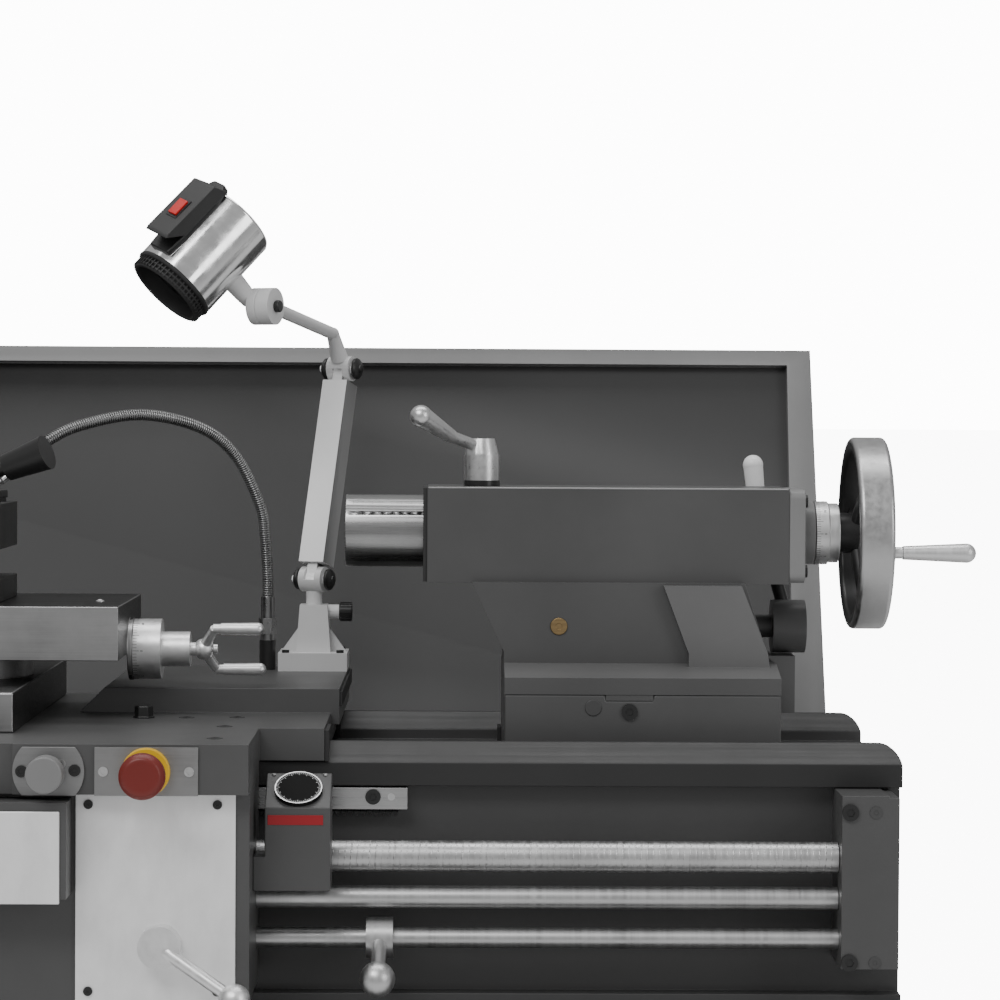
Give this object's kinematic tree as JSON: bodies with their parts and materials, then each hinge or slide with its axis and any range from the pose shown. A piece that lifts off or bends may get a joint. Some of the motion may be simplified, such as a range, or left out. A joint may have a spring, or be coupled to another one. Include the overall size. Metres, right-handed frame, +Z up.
{
  "type": "metal lathe",
  "caption": "Engine lathe on pedestals with geared headstock, chuck, carriage with compound slide and work lamp, coolant hose, splash guard and tailstock with handwheel.",
  "frame": {"origin": "on the floor, in the middle of the four floor-bolt holes", "axes": "+X from headstock to tailstock, +Y away from the operator, +Z up"},
  "size_m": [2.3218, 0.8751, 1.5265],
  "materials": {
    "machine_grey": "semi-gloss hammered dark grey enamel",
    "light_enamel": "satin light grey enamel",
    "guard_grey": "satin grey sheet enamel",
    "cast_ways": "ground and scraped way surfaces",
    "ground_steel": "fine ground steel",
    "satin_steel": "satin turned steel",
    "satin_chrome": "satin chrome",
    "lamp_aluminium": "polished and brushed aluminium",
    "black_plastic": "moulded black plastic",
    "grey_plastic": "moulded grey plastic",
    "stop_red": "red moulded plastic",
    "belt_rubber": "ribbed rubber"
  },
  "bodies": {
    "frame": {"bed": "machine_grey", "headstock_casing": "light_enamel", "headstock_cover": "light_enamel", "spindle_bearings": "ground_steel", "feed_gearbox": "machine_grey", "headstock_pedestal": "light_enamel", "tailstock_pedestal": "light_enamel", "chip_tray": "light_enamel", "splash_guard": "guard_grey", "rack": "ground_steel", "leadscrew_bracket": "machine_grey", "motor": "cast_ways", "drive_belt": "belt_rubber"},
    "motor_rotor": {"motor_pulley": "cast_ways"},
    "input_shaft": {"input_pulley": "cast_ways"},
    "spindle_line": {"spindle": "ground_steel", "chuck_body": "satin_steel", "chuck_jaws": "ground_steel"},
    "gear_lever": {"speed_lever": "black_plastic"},
    "end_door": {"end_cover": "light_enamel"},
    "lead_screw": {"leadscrew": "ground_steel"},
    "feed_shaft": {"feed_rod": "ground_steel"},
    "start_rod": {"control_rod": "ground_steel"},
    "carriage": {"saddle": "machine_grey", "apron": "light_enamel", "oil_pump_plate": "satin_steel", "estop_plate": "satin_steel", "thread_dial_housing": "machine_grey", "coolant_valve": "satin_chrome", "coolant_hose": "satin_chrome", "lamp_base": "lamp_aluminium"},
    "pump_knob": {"oil_pump_knob": "grey_plastic"},
    "stop_button": {"estop_button": "stop_red"},
    "carriage_wheel": {"apron_handwheel": "satin_steel"},
    "nut_lever": {"half_nut_lever": "black_plastic"},
    "chasing_dial": {"thread_dial": "black_plastic"},
    "cross_table": {"cross_slide": "ground_steel"},
    "cross_handle": {"cross_crank": "satin_steel"},
    "compound": {"compound_base": "ground_steel"},
    "top_table": {"top_slide": "ground_steel"},
    "top_handle": {"compound_crank": "satin_steel"},
    "turret": {"tool_post": "ground_steel"},
    "turret_lever": {"tool_post_lever": "black_plastic"},
    "lamp_swivel": {"lamp_post": "lamp_aluminium"},
    "lamp_lower": {"lamp_arm": "lamp_aluminium"},
    "lamp_upper": {"lamp_rod": "lamp_aluminium"},
    "lamp_shade": {"lamp_head": "lamp_aluminium", "lamp_bezel": "black_plastic"},
    "lamp_rocker": {"lamp_switch": "stop_red"},
    "tailstock": {"tailstock_base": "machine_grey", "tailstock_body": "machine_grey", "tailstock_end_cap": "light_enamel", "tailstock_clamp": "cast_ways"},
    "quill_tube": {"quill": "ground_steel"},
    "quill_drive": {"quill_screw": "ground_steel", "tailstock_dial": "satin_steel", "tailstock_handwheel": "satin_steel"},
    "wheel_grip": {"tailstock_handle": "satin_chrome"},
    "quill_lock": {"quill_lock_lever": "satin_steel"},
    "bed_clamp": {"clamp_lever": "satin_steel"}
  },
  "joints": [
    {"name": "spindle_spin", "type": "hinge", "parent": "frame", "child": "spindle_line", "pos_m": [-0.542, 0, 1.15], "axis": [1, 0, 0], "continuous": true},
    {"name": "input_spin", "type": "hinge", "parent": "frame", "child": "input_shaft", "pos_m": [-1.072, 0.11, 1.09], "axis": [1, 0, 0], "continuous": true},
    {"name": "motor_spin", "type": "hinge", "parent": "frame", "child": "motor_rotor", "pos_m": [-1.072, 0.09, 0.33], "axis": [1, 0, 0], "continuous": true},
    {"name": "gear_lever_turn", "type": "hinge", "parent": "frame", "child": "gear_lever", "pos_m": [-0.672, -0.205, 1.22], "axis": [0, 1, 0], "range_deg": [-40, 40]},
    {"name": "end_door_open", "type": "hinge", "parent": "frame", "child": "end_door", "pos_m": [-1.0794, 0.211, 0.75], "axis": [0, 0, 1], "range_deg": [-88, 0]},
    {"name": "leadscrew_spin", "type": "hinge", "parent": "frame", "child": "lead_screw", "pos_m": [0, -0.215, 0.84], "axis": [1, 0, 0], "continuous": true},
    {"name": "feed_rod_spin", "type": "hinge", "parent": "frame", "child": "feed_shaft", "pos_m": [0, -0.215, 0.8], "axis": [1, 0, 0], "continuous": true},
    {"name": "start_lever_turn", "type": "hinge", "parent": "frame", "child": "start_rod", "pos_m": [0, -0.215, 0.76], "axis": [1, 0, 0], "range_deg": [-15, 15]},
    {"name": "carriage_travel", "type": "slide", "parent": "frame", "child": "carriage", "axis": [1, 0, 0], "range_m": [-0.28, 0]},
    {"name": "oil_pump_press", "type": "slide", "parent": "carriage", "child": "pump_knob", "axis": [0, 1, 0], "range_m": [0, 0.008], "stiffness_N_per_m": 400},
    {"name": "stop_press", "type": "slide", "parent": "carriage", "child": "stop_button", "axis": [0, 1, 0], "range_m": [0, 0.005], "stiffness_N_per_m": 600},
    {"name": "carriage_wheel_turn", "type": "hinge", "parent": "carriage", "child": "carriage_wheel", "pos_m": [0.044, -0.33, 0.772], "axis": [0, 1, 0], "range_deg": [-1300, 1300]},
    {"name": "half_nut_turn", "type": "hinge", "parent": "carriage", "child": "nut_lever", "pos_m": [0.354, -0.33, 0.772], "axis": [0, 1, 0], "range_deg": [-30, 30]},
    {"name": "chasing_dial_turn", "type": "hinge", "parent": "carriage", "child": "chasing_dial", "pos_m": [0.4795, -0.262, 0.909], "axis": [0, -0.5736, 0.8192], "range_deg": [-1300, 1300]},
    {"name": "cross_travel", "type": "slide", "parent": "carriage", "child": "cross_table", "axis": [0, 1, 0], "range_m": [-0.1, 0.03]},
    {"name": "cross_crank_turn", "type": "hinge", "parent": "carriage", "child": "cross_handle", "pos_m": [0.104, -0.345, 0.93], "axis": [0, 1, 0], "range_deg": [-9000, 9000]},
    {"name": "compound_swivel", "type": "hinge", "parent": "cross_table", "child": "compound", "pos_m": [0.104, -0.035, 1.001], "axis": [0, 0, 1], "range_deg": [-30, 0]},
    {"name": "top_travel", "type": "slide", "parent": "compound", "child": "top_table", "axis": [1, 0, 0], "range_m": [-0.05, 0.03]},
    {"name": "top_crank_turn", "type": "hinge", "parent": "top_table", "child": "top_handle", "pos_m": [0.3, -0.035, 1.028], "axis": [1, 0, 0], "range_deg": [-6000, 6000]},
    {"name": "turret_index", "type": "hinge", "parent": "top_table", "child": "turret", "pos_m": [0.104, -0.035, 1.15], "axis": [0, 0, 1], "continuous": true},
    {"name": "turret_lever_turn", "type": "hinge", "parent": "top_table", "child": "turret_lever", "pos_m": [0.104, -0.035, 1.19], "axis": [0, 0, 1], "range_deg": [-60, 20]},
    {"name": "lamp_swivel_turn", "type": "hinge", "parent": "carriage", "child": "lamp_swivel", "pos_m": [0.472, 0.225, 1.087], "axis": [0, 0, 1], "range_deg": [-60, 60]},
    {"name": "lamp_lower_tilt", "type": "hinge", "parent": "lamp_swivel", "child": "lamp_lower", "pos_m": [0.472, 0.225, 1.087], "axis": [0.9135, -0.4067, 0], "range_deg": [-10, 10]},
    {"name": "lamp_upper_tilt", "type": "hinge", "parent": "lamp_lower", "child": "lamp_upper", "pos_m": [0.49966, 0.28712, 1.322], "axis": [0.9135, -0.4067, 0], "range_deg": [-25, 8]},
    {"name": "lamp_head_tilt", "type": "hinge", "parent": "lamp_upper", "child": "lamp_shade", "pos_m": [0.42116, 0.11081, 1.386], "axis": [0.9135, -0.4067, 0], "range_deg": [-20, 20]},
    {"name": "lamp_switch_rock", "type": "hinge", "parent": "lamp_shade", "child": "lamp_rocker", "pos_m": [0.33593, 0.04611, 1.48681], "axis": [0.6899, -0.6349, -0.3479], "range_deg": [-6, 6]},
    {"name": "tailstock_travel", "type": "slide", "parent": "frame", "child": "tailstock", "axis": [1, 0, 0], "range_m": [-0.09, 0.05]},
    {"name": "quill_travel", "type": "slide", "parent": "tailstock", "child": "quill_tube", "axis": [-1, 0, 0], "range_m": [-0.06, 0.1]},
    {"name": "quill_wheel_turn", "type": "hinge", "parent": "tailstock", "child": "quill_drive", "pos_m": [0.971, 0, 1.15], "axis": [1, 0, 0], "range_deg": [-8000, 8000]},
    {"name": "wheel_grip_turn", "type": "hinge", "parent": "quill_drive", "child": "wheel_grip", "pos_m": [1.0754, -0.08124, 1.133], "axis": [1, 0, 0], "continuous": true},
    {"name": "quill_lock_turn", "type": "hinge", "parent": "tailstock", "child": "quill_lock", "pos_m": [0.656, 0, 1.197], "axis": [0, 0, 1], "range_deg": [-40, 40]},
    {"name": "bed_clamp_turn", "type": "hinge", "parent": "tailstock", "child": "bed_clamp", "pos_m": [0.964, 0.05, 1.049], "axis": [1, 0, 0], "range_deg": [-50, 0]}
  ],
  "couplings": [
    {"joint": "input_spin", "follows": "spindle_spin", "ratio": 2},
    {"joint": "motor_spin", "follows": "spindle_spin", "ratio": 2.6667},
    {"joint": "leadscrew_spin", "follows": "spindle_spin", "ratio": 0.25},
    {"joint": "feed_rod_spin", "follows": "spindle_spin", "ratio": 0.2},
    {"joint": "carriage_wheel_turn", "follows": "carriage_travel", "rad_per_m": 62.832},
    {"joint": "chasing_dial_turn", "follows": "carriage_travel", "rad_per_m": 43.633},
    {"joint": "cross_crank_turn", "follows": "cross_travel", "rad_per_m": 1256.6},
    {"joint": "top_crank_turn", "follows": "top_travel", "rad_per_m": 1256.6},
    {"joint": "quill_wheel_turn", "follows": "quill_travel", "rad_per_m": 1256.6}
  ]
}
